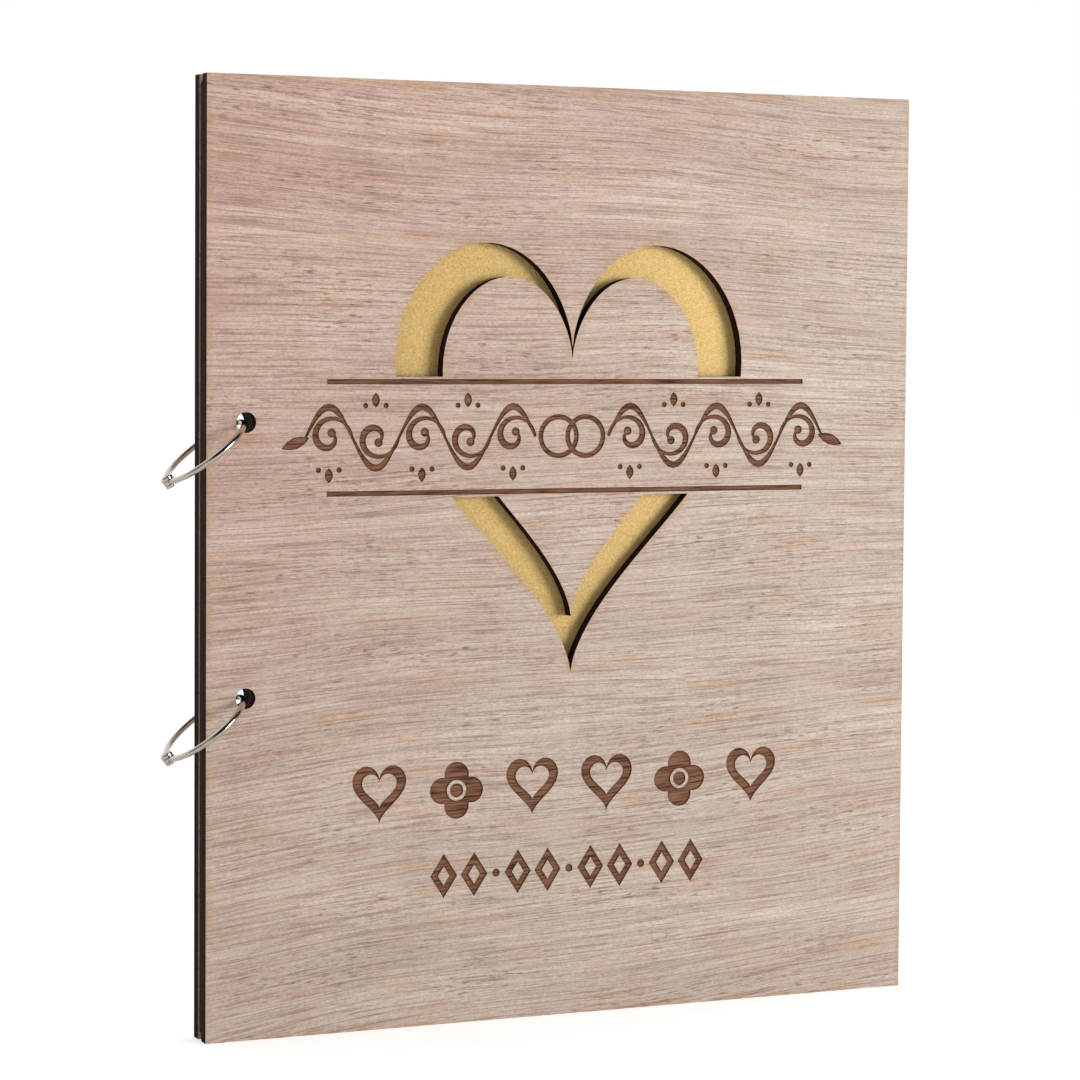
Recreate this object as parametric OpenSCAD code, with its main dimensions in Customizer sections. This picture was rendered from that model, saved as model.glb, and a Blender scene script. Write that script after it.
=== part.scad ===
// Wedding guest book: two plywood covers, a gold card, loose leaves and two hinged book rings.
// X runs from the spine edge to the fore-edge, Z up the spine, and Y from front to back.
// The origin is the middle of the back cover's underside. The sub-parts are drawn from the
// spine edge and from the middle of the thickness, and in_frame() moves them to the origin.

/* [Covers] */
// Width of a cover, from spine edge to fore-edge
cover_w = 230; // [220:1:280]
// Height of a cover
cover_h = 280; // [265:1:340]
// Thickness of a plywood cover
plate_t = 4; // [3:0.1:4.8]
// Depth of the laser engraving
engrave_d = 0.3; // [0.1:0.05:0.6]

/* [Leaves] */
// Thickness of one leaf
leaf_t = 0.17; // [0.12:0.01:0.21]
// Air between one leaf and the next
leaf_gap = 0.05; // [0.03:0.01:0.08]
// How far the leaves stand back from the covers' head, foot and fore-edge
leaf_inset = 1.5; // [0.5:0.1:3]
// How far the leaves stand back from the covers' spine edge
spine_inset = 0.3; // [0.2:0.1:2]
// Thickness of the gold card
card_t = 0.36; // [0.24:0.02:0.6]

/* [Punched holes] */
// Diameter of a ring hole
hole_d = 6; // [5.6:0.1:7.2]
// Distance from the spine edge to a hole's centre
hole_x = 12; // [11.5:0.1:12.6]
// Distance between the two holes
hole_pitch = 80; // [60:1:110]
// Height of the holes' midpoint above the underside
hole_mid_z = 140; // [100:1:180]

/* [Rings] */
// Radius of a ring, to the middle of its wire
ring_r = 13.7; // [13.5:0.1:14.3]
// Diameter of the ring wire
wire_d = 1.75; // [1.4:0.05:1.8]
// Angle that a ring hangs below level
ring_droop = 38; // [30:1:42]
// Turn of a hanging ring about the upright
ring_yaw = 0; // [-3:0.5:3]
// Place of the ring's middle along Y
ring_y = -0.97; // [-1.2:0.01:-0.5]
// Place of the wire in the back cover's hole along X, at its outer face
face_dx = -1.47; // [-1.6:0.01:-1.2]
// Place of the wire in the back cover's hole along Z, at its outer face
face_dz = -1.02; // [-1.2:0.01:-0.8]

/* [Ring knuckle] */
// Diameter of a knuckle ear
ear_d = 3.7; // [2.8:0.1:3.8]
// Thickness of the middle ear
ear_mid_t = 1.2; // [0.8:0.1:1.4]
// Thickness of each outer ear
ear_out_t = 0.9; // [0.5:0.1:1]
// Air between ears, and at the snap
knuckle_gap = 0.1; // [0.05:0.01:0.2]
// Diameter of the rivet
rivet_d = 1.5; // [1:0.1:1.8]
// Radial clearance of the rivet in the ears
rivet_fit = 0.05; // [0.02:0.01:0.1]
// Height of a rivet head
rivet_head_t = 0.3; // [0.2:0.05:0.5]
// Diameter of a rivet head
rivet_head_d = 2.5; // [1.9:0.1:2.6]
// Arc of the overlap where the two halves snap together
snap_arc = 8; // [4:1:12]

/* [Split heart] */
// Width of the heart cut-out
heart_w = 114; // [90:1:130]
// Height of the heart cut-out
heart_h = 129; // [110:1:140]
// Height of the heart's tip above the underside
heart_tip_z = 104; // [96:1:110]
// Width of the cut stroke at the heart's sides
stroke_side = 15; // [8:0.5:20]
// Width of the cut stroke at the heart's tip
stroke_tip = 17; // [10:0.5:22]
// Width of the cut stroke at the top of the lobes
stroke_top = 10; // [6:0.5:12]
// Height of the lower edge of the band that splits the heart
band_z = 157.5; // [150:0.5:165]
// Height of the band
band_h = 35.7; // [32:0.1:40]

/* [Engraving] */
// Length of a rule
rule_len = 156.5; // [120:0.5:180]
// Thickness of a rule
rule_t = 1.5; // [1:0.1:2.5]
// Wood left between a rule and the cut-out
rule_gap = 0.7; // [0.4:0.1:1.2]
// Half length of the scroll, from its middle to its end leaf
scroll_half = 94; // [80:1:100]
// Half height of the scroll's wave
wave_h = 9; // [7:0.1:10]
// Number of half waves on each side
wave_count = 5; // [4:1:5]
// Thin and thick width of a pen stroke
pen_thin = 0.8; // [0.5:0.1:1]
// Thick width of a pen stroke
pen_thick = 2.1; // [1.4:0.1:2.4]
// Height of an ornament in the upper row
motif_h = 17; // [12:0.5:20]
// Spacing of the ornaments in the upper row
motif_pitch = 24.6; // [20:0.1:28]
// Height of the upper row's middle above the underside
motif_z = 70; // [62:0.5:78]
// Height of a lozenge in the lower row
lozenge_h = 13.2; // [10:0.1:15]
// Width of a lozenge in the lower row
lozenge_w = 8.6; // [6:0.1:9]
// Spacing of the two lozenges of a pair
lozenge_pitch = 9.8; // [9.2:0.1:10.4]
// Spacing of the pairs in the lower row
pair_pitch = 24; // [23:0.1:27]
// Height of the lower row's middle above the underside
lozenge_z = 44.5; // [36:0.5:50]

/* [Hidden] */
LEAF_COUNT = 12;
LEAVES = [for (n = [1:LEAF_COUNT]) str("leaf_", n)];

WOOD = "BurlyWood";
CARD = "Gold";
PAPER = "DimGray";
NICKEL = "Silver";

ROUND_FN = 64;      // facets of a drilled hole and of a wire
DOT_FN = 24;        // facets of an engraved dot
CUT_OVER = 1;       // how far a cut reaches past the face that it opens

// The stack is centred on Y = 0: front cover, gold card, leaves, back cover
leaf_pitch = leaf_t + leaf_gap;
pack_t = card_t + LEAF_COUNT * leaf_pitch;
card_y = -pack_t / 2;               // front face of the gold card
leaf_y = card_y + card_t + leaf_gap / 2;
front_y = -pack_t / 2 - plate_t;    // outer face of the front cover
back_y = pack_t / 2;                // inner face of the back cover

hole_z_lower = hole_mid_z - hole_pitch / 2;
hole_z_upper = hole_mid_z + hole_pitch / 2;

mid_x = cover_w / 2;
back_mid_y = back_y + plate_t / 2;
band_top_z = band_z + band_h;
scroll_z = band_z + band_h / 2;

module in_frame() {
    translate([-mid_x, -back_mid_y, 0]) children();
}

// ---- Plates and sheets ----

// A flat rectangle standing on its long edge, from y to y + t, inset from the covers' edges
module sheet(y, t, inset, at_spine) {
    translate([at_spine, y + t, inset])
        rotate([90, 0, 0])
            linear_extrude(t)
                square([cover_w - at_spine - inset, cover_h - 2 * inset]);
}

// The two holes that the rings pass through
module ring_holes(y, t) {
    for (z = [hole_z_lower, hole_z_upper])
        translate([hole_x, y + t + CUT_OVER, z])
            rotate([90, 0, 0])
                cylinder(d = hole_d, h = t + 2 * CUT_OVER, $fn = ROUND_FN);
}

module punched_sheet(y, t, inset = 0, at_spine = 0) {
    difference() {
        sheet(y, t, inset, at_spine);
        ring_holes(y, t);
    }
}

// Cuts a flat drawing into the front cover, to a depth measured from its outer face
module cut_front(depth) {
    translate([0, front_y + depth, 0])
        rotate([90, 0, 0])
            linear_extrude(depth + CUT_OVER)
                children();
}

// ---- Split heart ----

HEART_STEP = 3;     // angle between two points of the heart cut-out
MOTIF_STEP = 9;     // angle between two points of a small heart
HEART_TOP = 11.93;  // highest and lowest value of the heart curve
HEART_LOW = -17;

HEART_CUSP = 12;    // angle round the cusp and the tip that is left without points

// A closed heart curve that fills the box from -w / 2 to w / 2 and from 0 to h
function heart(w, h, step) = [
    for (a = [
            0, each [HEART_CUSP:step:180 - HEART_CUSP],
            180, each [180 + HEART_CUSP:step:360 - HEART_CUSP]])
        let (rise = 13 * cos(a) - 5 * cos(2 * a) - 2 * cos(3 * a) - cos(4 * a))
        [w / 2 * pow(sin(a), 3),
         h * (rise - HEART_LOW) / (HEART_TOP - HEART_LOW)]
];

// The heart drawn as one broad pen stroke, open across the band
module split_heart() {
    difference() {
        translate([mid_x, heart_tip_z])
            polygon(heart(heart_w, heart_h, HEART_STEP));
        translate([mid_x, heart_tip_z + stroke_tip])
            polygon(heart(
                heart_w - 2 * stroke_side,
                heart_h - stroke_tip - stroke_top,
                HEART_STEP));
        translate([0, band_z])
            square([cover_w, band_h]);
    }
}

// ---- Engraved scroll, rules and rows ----

function along(p, i) =
    let (step = p[min(i + 1, len(p) - 1)] - p[max(i - 1, 0)])
    step / norm(step);

function beside(p, i) = let (t = along(p, i)) [-t[1], t[0]];

// Width of a pen stroke that swells from thin to thick and back, at s from 0 to 1
function swell(s) = pen_thin + (pen_thick - pen_thin) * pow(sin(180 * s), 2);

// The outline of a pen stroke along the points p, which swells a number of times
function pen(p, times) =
    let (last = len(p) - 1)
    concat(
        [for (i = [0:last]) p[i] + beside(p, i) * swell(times * i / last) / 2],
        [for (i = [last:-1:0]) p[i] - beside(p, i) * swell(times * i / last) / 2]);

// A pointed leaf from the origin along +X
LEAF_STEPS = 6;
function leaf_shape(length, width) = [
    for (i = [0:2 * LEAF_STEPS - 1])
        let (a = 180 * i / LEAF_STEPS)
        [length * (1 - cos(a)) / 2, width / 2 * sin(a) * abs(sin(a))]
];

BANDS_R = 6.6;              // outer radius of each of the two linked bands in the middle
BANDS_W = 1.5;              // width of a linked band
BANDS_X = 4.4;              // half the distance between the linked bands' centres
scroll_start = BANDS_X + BANDS_R + 1;
END_LEAF = 9;               // length of the leaf that ends the scroll
LEAF_SINK = 1.2;            // how far that leaf starts inside the stem
wave_len = (scroll_half - scroll_start - END_LEAF) / wave_count;
STEM_STEPS = 12;            // points along half a wave
CURL_TURN = 420;            // angle that a tendril curls through
CURL_STEPS = 30;
CURL_END = 1.7;             // radius at which a tendril ends
BUD_R = 1.3;
CURL_FALL = 1.4;            // how quickly a tendril tightens

function stem() = [
    for (i = [0:STEM_STEPS * wave_count])
        let (u = i / STEM_STEPS)
        [u * wave_len, wave_h * sin(180 * u)]
];

// A tendril that curls inwards under the crest of a half wave
function curl() = [
    for (i = [0:CURL_STEPS])
        let (s = i / CURL_STEPS)
        let (r = wave_len / 2 * pow(1 - s, CURL_FALL) + CURL_END * s)
        let (a = 180 - CURL_TURN * s)
        [wave_len / 2 + r * cos(a), r * sin(a)]
];

module half_wave_fill() {
    polygon(pen(curl(), 1));
    translate(curl()[CURL_STEPS])
        circle(r = BUD_R, $fn = DOT_FN);
    translate([wave_len / 2, -wave_h + 0.2])
        rotate(-90)
            polygon(leaf_shape(4.4, 2.6));
    for (side = [-1, 1])
        translate([wave_len / 2 + side * 3.2, -wave_h - 0.4])
            circle(r = 0.8, $fn = DOT_FN);
}

module half_scroll() {
    polygon(pen(stem(), wave_count));
    for (k = [0:wave_count - 1])
        translate([k * wave_len, 0])
            mirror([0, k % 2])
                half_wave_fill();
    translate([wave_count * wave_len - LEAF_SINK, 0])
        rotate(wave_count % 2 == 1 ? -20 : 20)
            polygon(leaf_shape(END_LEAF, 3.4));
}

module linked_bands() {
    for (side = [-1, 1])
        translate([side * BANDS_X, 0])
            difference() {
                circle(r = BANDS_R, $fn = ROUND_FN);
                circle(r = BANDS_R - BANDS_W, $fn = ROUND_FN);
            }
}

module scroll() {
    linked_bands();
    for (side = [0, 1])
        mirror([side, 0])
            translate([scroll_start, 0])
                half_scroll();
}

module rules() {
    for (z = [band_z + rule_gap, band_top_z - rule_gap - rule_t])
        translate([mid_x - rule_len / 2, z])
            square([rule_len, rule_t]);
}

MOTIF_STROKE = 3;           // stroke width of the small hearts
BLOSSOM_R = 3.9;            // radius of a petal
BLOSSOM_EYE = 2.1;          // radius of the blossom's eye

module small_heart() {
    translate([0, -motif_h / 2])
        difference() {
            polygon(heart(motif_h, motif_h, MOTIF_STEP));
            translate([0, 1.5 * MOTIF_STROKE])
                polygon(heart(
                    motif_h - 2 * MOTIF_STROKE,
                    motif_h - 2.3 * MOTIF_STROKE,
                    MOTIF_STEP));
        }
}

// Four separate petals around an eye
module blossom() {
    petal_x = motif_h / 2 - BLOSSOM_R;
    for (a = [0:90:270])
        rotate(a)
            translate([petal_x, 0])
                difference() {
                    circle(r = BLOSSOM_R, $fn = ROUND_FN);
                    translate([-petal_x, 0])
                        circle(r = BLOSSOM_EYE + 1, $fn = ROUND_FN);
                }
    circle(r = BLOSSOM_EYE, $fn = ROUND_FN);
}

MOTIF_ROW = [-2.5, -1.5, -0.5, 0.5, 1.5, 2.5];

module motif_row() {
    for (i = [0:5])
        translate([MOTIF_ROW[i] * motif_pitch, 0])
            if (i % 3 == 1) blossom();
            else small_heart();
}

module lozenge(w, h) {
    polygon([[w / 2, 0], [0, h / 2], [-w / 2, 0], [0, -h / 2]]);
}

LOZENGE_STROKE = 2.4;       // distance between a lozenge's outer and inner sides, along X
LOZENGE_DOT_R = 1.2;
PAIR_ROW = [-1.5, -0.5, 0.5, 1.5];

// Four pairs of lozenges with a dot between one pair and the next
module lozenge_row() {
    for (x = PAIR_ROW, side = [-0.5, 0.5])
        translate([x * pair_pitch + side * lozenge_pitch, 0])
            difference() {
                lozenge(lozenge_w, lozenge_h);
                lozenge(
                    lozenge_w - 2 * LOZENGE_STROKE,
                    lozenge_h * (1 - 2 * LOZENGE_STROKE / lozenge_w));
            }
    for (x = [-1:1])
        translate([x * pair_pitch, 0])
            circle(r = LOZENGE_DOT_R, $fn = DOT_FN);
}

module engraving() {
    rules();
    translate([mid_x, scroll_z]) scroll();
    translate([mid_x, motif_z]) motif_row();
    translate([mid_x, lozenge_z]) lozenge_row();
}

// ---- Covers, card and leaves ----

module front_cover() {
    color(WOOD)
        in_frame() difference() {
            punched_sheet(front_y, plate_t);
            cut_front(plate_t + CUT_OVER) split_heart();
            cut_front(engrave_d) engraving();
        }
}

module gold_card() {
    color(CARD) in_frame() punched_sheet(card_y, card_t, leaf_inset, spine_inset);
}

module back_cover() {
    color(WOOD) in_frame() punched_sheet(back_y, plate_t);
}

module leaf(n) {
    y = leaf_y + (n - 1) * leaf_pitch;
    color(PAPER) in_frame() punched_sheet(y, leaf_t, leaf_inset, spine_inset);
}

// ---- Book rings ----
// Each ring lies in its own XY plane: the snap on +X, the knuckle on -X, the front half on -Y

ear_mid_half = ear_mid_t / 2;
ear_gap_half = ear_mid_half + knuckle_gap;
ear_out_half = ear_gap_half + ear_out_t;
snap_gap_arc = asin(knuckle_gap / ring_r);

// How far the wire falls back from its outermost point to the back cover's outer face
ring_sag = ring_r - sqrt(pow(ring_r, 2) - pow(back_y + plate_t - ring_y, 2));
wire_dx = face_dx + ring_sag * cos(ring_droop) * cos(ring_yaw);
wire_dz = face_dz + ring_sag * sin(ring_droop);

// Carries a ring from its own plane to its hole: the wire's outermost point lies in the hole
module place_ring(hole_z) {
    translate([hole_x + wire_dx, ring_y, hole_z + wire_dz])
        rotate([0, -ring_droop, ring_yaw])
            translate([-ring_r, 0, 0])
                children();
}

// Wire from angle a0 to angle a1
module wire(a0, a1) {
    rotate(a0)
        rotate_extrude(angle = a1 - a0, $fn = ROUND_FN)
            translate([ring_r, 0])
                circle(d = wire_d, $fn = ROUND_FN);
}

// Clears the lower half of the wire's section from angle a0 to angle a1
module lap_cut(a0, a1) {
    rotate(a0)
        rotate_extrude(angle = a1 - a0, $fn = ROUND_FN)
            translate([ring_r - wire_d, -wire_d])
                square([2 * wire_d, wire_d + knuckle_gap / 2]);
}

module at_knuckle(z) {
    translate([-ring_r, 0, z]) children();
}

module ear(z0, z1) {
    at_knuckle(z0) cylinder(d = ear_d, h = z1 - z0, $fn = ROUND_FN);
}

module rivet_bore() {
    at_knuckle(-ear_out_half - CUT_OVER)
        cylinder(
            d = rivet_d + 2 * rivet_fit,
            h = 2 * (ear_out_half + CUT_OVER),
            $fn = ROUND_FN);
}

// Clears a round pocket at the knuckle from z0 to z1
module ear_pocket(z0, z1) {
    at_knuckle(z0)
        cylinder(d = ear_d + 2 * knuckle_gap, h = z1 - z0, $fn = ROUND_FN);
}

// Half a hoop on +Y, which keeps the upper half of its section at the snap
module half_hoop() {
    difference() {
        wire(-snap_arc / 2 + snap_gap_arc, 180);
        lap_cut(-snap_arc, snap_arc / 2);
    }
}

// The front half is turned over, so its lap lies under the other. It carries the middle ear
module ring_front_half() {
    difference() {
        union() {
            rotate([180, 0, 0]) half_hoop();
            ear(-wire_d, wire_d);
        }
        ear_pocket(ear_mid_half, wire_d + CUT_OVER);
        ear_pocket(-wire_d - CUT_OVER, -ear_mid_half);
        rivet_bore();
    }
}

// The back half carries the two outer ears
module ring_back_half() {
    difference() {
        union() {
            half_hoop();
            ear(-ear_out_half, ear_out_half);
        }
        ear_pocket(-ear_gap_half, ear_gap_half);
        rivet_bore();
    }
}

module ring_rivet() {
    at_knuckle(-ear_out_half)
        cylinder(d = rivet_d, h = 2 * ear_out_half, $fn = ROUND_FN);
    for (side = [0, 1])
        mirror([0, 0, side])
            at_knuckle(ear_out_half)
                cylinder(d = rivet_head_d, h = rivet_head_t, $fn = ROUND_FN);
}

module ring_upper_front_half() {
    color(NICKEL) in_frame() place_ring(hole_z_upper) ring_front_half();
}

module ring_upper_back_half() {
    color(NICKEL) in_frame() place_ring(hole_z_upper) ring_back_half();
}

module ring_upper_rivet() {
    color(NICKEL) in_frame() place_ring(hole_z_upper) ring_rivet();
}

module ring_lower_front_half() {
    color(NICKEL) in_frame() place_ring(hole_z_lower) ring_front_half();
}

module ring_lower_back_half() {
    color(NICKEL) in_frame() place_ring(hole_z_lower) ring_back_half();
}

module ring_lower_rivet() {
    color(NICKEL) in_frame() place_ring(hole_z_lower) ring_rivet();
}

front_cover();
gold_card();
back_cover();
for (n = [1:LEAF_COUNT])
    leaf(n);
ring_upper_front_half();
ring_upper_back_half();
ring_upper_rivet();
ring_lower_front_half();
ring_lower_back_half();
ring_lower_rivet();
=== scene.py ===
"""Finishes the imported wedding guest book: plywood covers, glitter card, leaves and book rings."""

import math

import bmesh
import bpy
from bpy.props import (
    FloatProperty,
    FloatVectorProperty,
    IntProperty,
    PointerProperty,
)
from mathutils import Matrix, Vector


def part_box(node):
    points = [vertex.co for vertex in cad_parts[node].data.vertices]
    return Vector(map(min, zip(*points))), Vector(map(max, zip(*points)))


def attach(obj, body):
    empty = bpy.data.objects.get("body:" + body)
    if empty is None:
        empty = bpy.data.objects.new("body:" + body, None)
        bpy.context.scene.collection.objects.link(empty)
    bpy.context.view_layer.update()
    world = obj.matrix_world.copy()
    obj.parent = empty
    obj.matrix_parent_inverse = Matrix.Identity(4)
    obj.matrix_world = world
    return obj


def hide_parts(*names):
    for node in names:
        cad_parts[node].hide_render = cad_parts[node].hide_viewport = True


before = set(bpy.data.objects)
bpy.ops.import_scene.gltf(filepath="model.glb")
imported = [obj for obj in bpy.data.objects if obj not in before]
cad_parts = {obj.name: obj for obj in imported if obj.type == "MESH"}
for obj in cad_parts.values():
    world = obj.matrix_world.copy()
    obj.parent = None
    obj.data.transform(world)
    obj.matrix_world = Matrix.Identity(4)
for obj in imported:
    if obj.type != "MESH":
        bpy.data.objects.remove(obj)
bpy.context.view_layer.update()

bl_info = {
    "name": "Wedding Guest Book",
    "version": (1, 0, 0),
    "blender": (4, 5, 0),
    "location": "3D View > Sidebar > Guest Book",
    "description": "Finishes a ring-bound plywood guest book and its studio stage",
    "category": "Object",
}

MM = 0.001
SAME_POINT = 0.002 * MM     # points of a mesh that lie closer than this are one
NOISE_LOW, NOISE_HIGH = 0.3, 0.7    # nearly all of a plain noise lies between these

# ---- Places taken from the frame ----

COVER_LOW, COVER_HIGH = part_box("front_cover")
BOOK_HEIGHT = COVER_HIGH.z - COVER_LOW.z
BOOK_MIDDLE = Vector((0, 0, BOOK_HEIGHT / 2))
FACE_Y = COVER_LOW.y                # the front cover's face
PLATE_T = COVER_HIGH.y - COVER_LOW.y
RING_HOLES = {"upper": 180 * MM, "lower": 100 * MM}     # heights of the holes' centres
HOLE_X = COVER_LOW.x + 12 * MM      # the holes stand this far in from the spine edge
HOLE_D = 6 * MM
BOOK_MIDDLE_Y = -3.5 * MM           # middle of the closed book's thickness
RING_SHIFT = Vector((-0.19, -0.97, -0.02)) * MM         # how far a hanging ring is off centre


def linear(code):
    """Linear colour of an sRGB hex value."""
    channels = [int(code[i:i + 2], 16) / 255 for i in (1, 3, 5)]
    return tuple(
        c / 12.92 if c <= 0.04045 else ((c + 0.055) / 1.055) ** 2.4 for c in channels
    )


def colour(name, code, description):
    """A colour property."""
    return FloatVectorProperty(
        name=name,
        description=description,
        subtype="COLOR",
        size=3,
        min=0,
        max=1,
        default=linear(code),
    )


def length(name, millimetres, description):
    """A length property, kept in metres."""
    return FloatProperty(
        name=name,
        description=description,
        default=millimetres * MM,
        min=0,
        unit="LENGTH",
        precision=5,
    )


# ---- Settings ----


class PlywoodSettings(bpy.types.PropertyGroup):
    # The cool colours are paler than the warm ones: partly the veneer's own tone, and partly
    # painted light, since the key light falls from the fore-edge side.
    warm_pale: colour("Warm pale", "#DCC1B2", "Palest veneer by the spine and the head")
    warm_band: colour("Warm band", "#BF9F91", "Bands in the veneer by the spine and the head")
    cool_pale: colour("Cool pale", "#D8CBBF", "Palest veneer by the foot and the fore-edge")
    cool_band: colour("Cool band", "#C5B5A9", "Bands in the veneer by the foot and fore-edge")
    streak: colour("Streaks", "#9A7B6C", "Colour of the long vessel streaks")
    pore: colour("Pores", "#694A3F", "Colour of the short open pores")
    amber: colour("Amber", "#CE9F76", "Orange tint that lies in patches along the grain")
    scorch: colour("Scorch", "#BD9468", "Tan that the laser's smoke leaves by a cut")
    burn: colour("Engraving", "#8C654E", "Colour of an engraved floor")
    burn_dark: colour("Engraved streaks", "#4C2E24", "Darkest streaks in an engraving")
    char: colour("Char", "#291714", "Charred edge of the face plies")
    char_core: colour("Charred core", "#382320", "Charred edge of the core ply")
    engrave_depth: length("Engraving depth", 0.3, "Depth of the engraved floors")
    ply_t: length("Face ply", 0.9, "Thickness of a face ply")
    scorch_reach: length("Scorch reach", 3.6, "How far scorch spreads from a cut")
    # the darkening of an engraved floor near its wall is painted shade, from occlusion within this
    # reach
    outline: length("Outline", 0.9, "How far an engraved floor darkens from its wall")


class CardSettings(bpy.types.PropertyGroup):
    gold: colour("Gold", "#D9BA79", "Colour of the glitter coat")
    # the deep gold is painted shade, laid on flakes whose tilt turns them away from the light
    deep: colour("Deep gold", "#A9812F", "Colour of flakes that are turned away")
    core: colour("Card core", "#3B3022", "Colour of the card's cut rim")
    flake: length("Flake", 0.34, "Width of one glitter flake")


class LeafSettings(bpy.types.PropertyGroup):
    card: colour("Card", "#2B1F1D", "Colour of the leaves")
    trim: length("Trim", 0.7, "Most that a leaf is cut short of the pack")
    spine_trim: length("Spine trim", 0.12, "Most that a leaf is cut short at its spine")
    corner: length("Corner", 1.2, "Radius of a leaf's corners")
    seed: IntProperty(name="Seed", description="Seed of the trimming", default=7)


class RingSettings(bpy.types.PropertyGroup):
    nickel: colour("Nickel", "#CDC6BD", "Colour of the nickel plating")
    zinc: colour("Zinc", "#B9B7B2", "Colour of the rivets' zinc plating")
    radius: length("Ring radius", 13.7, "Radius to the middle of the wire")
    wire: length("Wire", 1.75, "Diameter of the wire")
    ear: length("Ear", 3.7, "Diameter of a knuckle ear")
    ear_middle: length("Middle ear", 1.2, "Thickness of the middle ear")
    ear_outer: length("Outer ear", 0.9, "Thickness of each outer ear")
    gap: length("Gap", 0.1, "Air between ears, and at the snap")
    rivet: length("Rivet", 1.5, "Diameter of the rivet")
    rivet_fit: length("Rivet clearance", 0.05, "Radial clearance of the rivet")
    rivet_head: length("Rivet head", 2.5, "Diameter of a rivet head")
    rivet_head_t: length("Rivet head height", 0.3, "Height of a rivet head")
    snap_arc: FloatProperty(
        name="Snap", description="Arc of the overlap at the snap",
        default=math.radians(8), subtype="ANGLE")
    droop: FloatProperty(
        name="Droop", description="Angle that a ring hangs below level",
        default=math.radians(38), subtype="ANGLE")
    yaw: FloatProperty(
        name="Yaw", description="Turn of a hanging ring about the upright",
        default=0, subtype="ANGLE")


class StageSettings(bpy.types.PropertyGroup):
    floor: colour("Floor", "#F5F5F5", "Colour of the pale floor")
    key_power: FloatProperty(
        name="Key light", description="Power of the key light", default=12.8,
        unit="POWER")
    fill_power: FloatProperty(
        name="Fill light", description="Power of the fill light", default=2.0,
        unit="POWER")
    world: FloatProperty(
        name="World", description="Strength of the surrounding light", default=0.42)


# ---- Nodes ----


def add(tree, kind, inputs=None, **settings):
    """Adds a node, sets its properties, and sets or links its inputs.

    A node that is given as an input stands for its first output."""
    made = tree.nodes.new(kind)
    for name, value in settings.items():
        setattr(made, name, value)
    for key, value in (inputs or {}).items():
        if isinstance(value, bpy.types.Node):
            value = value.outputs[0]
        if isinstance(value, bpy.types.NodeSocket):
            tree.links.new(value, made.inputs[key])
        else:
            made.inputs[key].default_value = value
    return made


def blank_material(name):
    """A material with nothing but its shader and its output."""
    material = bpy.data.materials.new(name)
    material.use_nodes = True
    tree = material.node_tree
    tree.nodes.clear()
    shader = add(tree, "ShaderNodeBsdfPrincipled")
    add(tree, "ShaderNodeOutputMaterial", {"Surface": shader.outputs[0]})
    return material, tree, shader


def flat_side(tree, coords):
    """1 on the flat sides of a plate that faces along y, and 0 on its cut edges."""
    normal = add(tree, "ShaderNodeSeparateXYZ", {0: coords.outputs["Normal"]})
    facing = add(tree, "ShaderNodeMath", {0: normal.outputs[1]}, operation="ABSOLUTE")
    return add(tree, "ShaderNodeMath", {0: facing, 1: 0.5}, operation="GREATER_THAN")


def paint(piece, material):
    """Gives a piece one material."""
    slots = piece.data.materials
    slots.clear()
    slots.append(material)


# ---- Meshes ----


def new_tree(name, inputs):
    """A Geometry Nodes tree with named inputs, and its input and output nodes."""
    tree = bpy.data.node_groups.new(name, "GeometryNodeTree")
    for label, kind in inputs:
        tree.interface.new_socket(label, in_out="INPUT", socket_type=kind)
    tree.interface.new_socket(
        "Geometry", in_out="OUTPUT", socket_type="NodeSocketGeometry")
    return tree, add(tree, "NodeGroupInput").outputs, add(tree, "NodeGroupOutput")


def close_tree(tree, end, geometry, material):
    """Ends a tree in real geometry with its material."""
    real = add(tree, "GeometryNodeRealizeInstances", {0: geometry})
    painted = add(
        tree, "GeometryNodeSetMaterial", {"Geometry": real.outputs[0], "Material": material})
    tree.links.new(painted.outputs[0], end.inputs[0])


def bake(piece):
    """Turns what a piece's modifiers make into its own plain mesh."""
    graph = bpy.context.evaluated_depsgraph_get()
    mesh = bpy.data.meshes.new_from_object(piece.evaluated_get(graph))
    piece.modifiers.clear()
    piece.data = mesh


def grow(name, tree, values):
    """Runs a tree with these input values and keeps its result as a plain mesh."""
    piece = bpy.data.objects.new(name, bpy.data.meshes.new(name))
    bpy.context.scene.collection.objects.link(piece)
    modifier = piece.modifiers.new("grow", "NODES")
    modifier.node_group = tree
    for socket in tree.interface.items_tree:
        if socket.in_out == "INPUT":
            modifier[socket.identifier] = values[socket.name]
    bake(piece)
    piece.data.name = name
    return piece


def lathe(profile, steps, axis_at):
    """A closed turned shape about an upright axis, from (radius, height) points."""
    shape = bmesh.new()
    rings = []
    for radius, height in profile:
        rings.append([
            shape.verts.new((
                axis_at[0] + radius * math.cos(math.tau * i / steps),
                axis_at[1] + radius * math.sin(math.tau * i / steps),
                axis_at[2] + height))
            for i in range(steps if radius else 1)])
    for low, high in zip(rings, rings[1:]):
        for i in range(steps):
            corners = []
            for ring, at in ((low, i), (low, i + 1), (high, i + 1), (high, i)):
                corner = ring[at % len(ring)]
                if corner not in corners:
                    corners.append(corner)
            if len(corners) > 2:
                shape.faces.new(corners)
    bmesh.ops.recalc_face_normals(shape, faces=shape.faces)
    return shape


def made_object(name, shape):
    """Turns a bmesh into an object in the scene."""
    mesh = bpy.data.meshes.new(name)
    shape.to_mesh(mesh)
    shape.free()
    made = bpy.data.objects.new(name, mesh)
    bpy.context.scene.collection.objects.link(made)
    return made


def combine(piece, other, operation):
    """Cuts another shape out of a piece, or joins it on, and removes the other shape."""
    modifier = piece.modifiers.new(operation, "BOOLEAN")
    modifier.operation = operation
    modifier.solver = "EXACT"
    modifier.object = other
    bake(piece)
    bpy.data.objects.remove(other)


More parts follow.
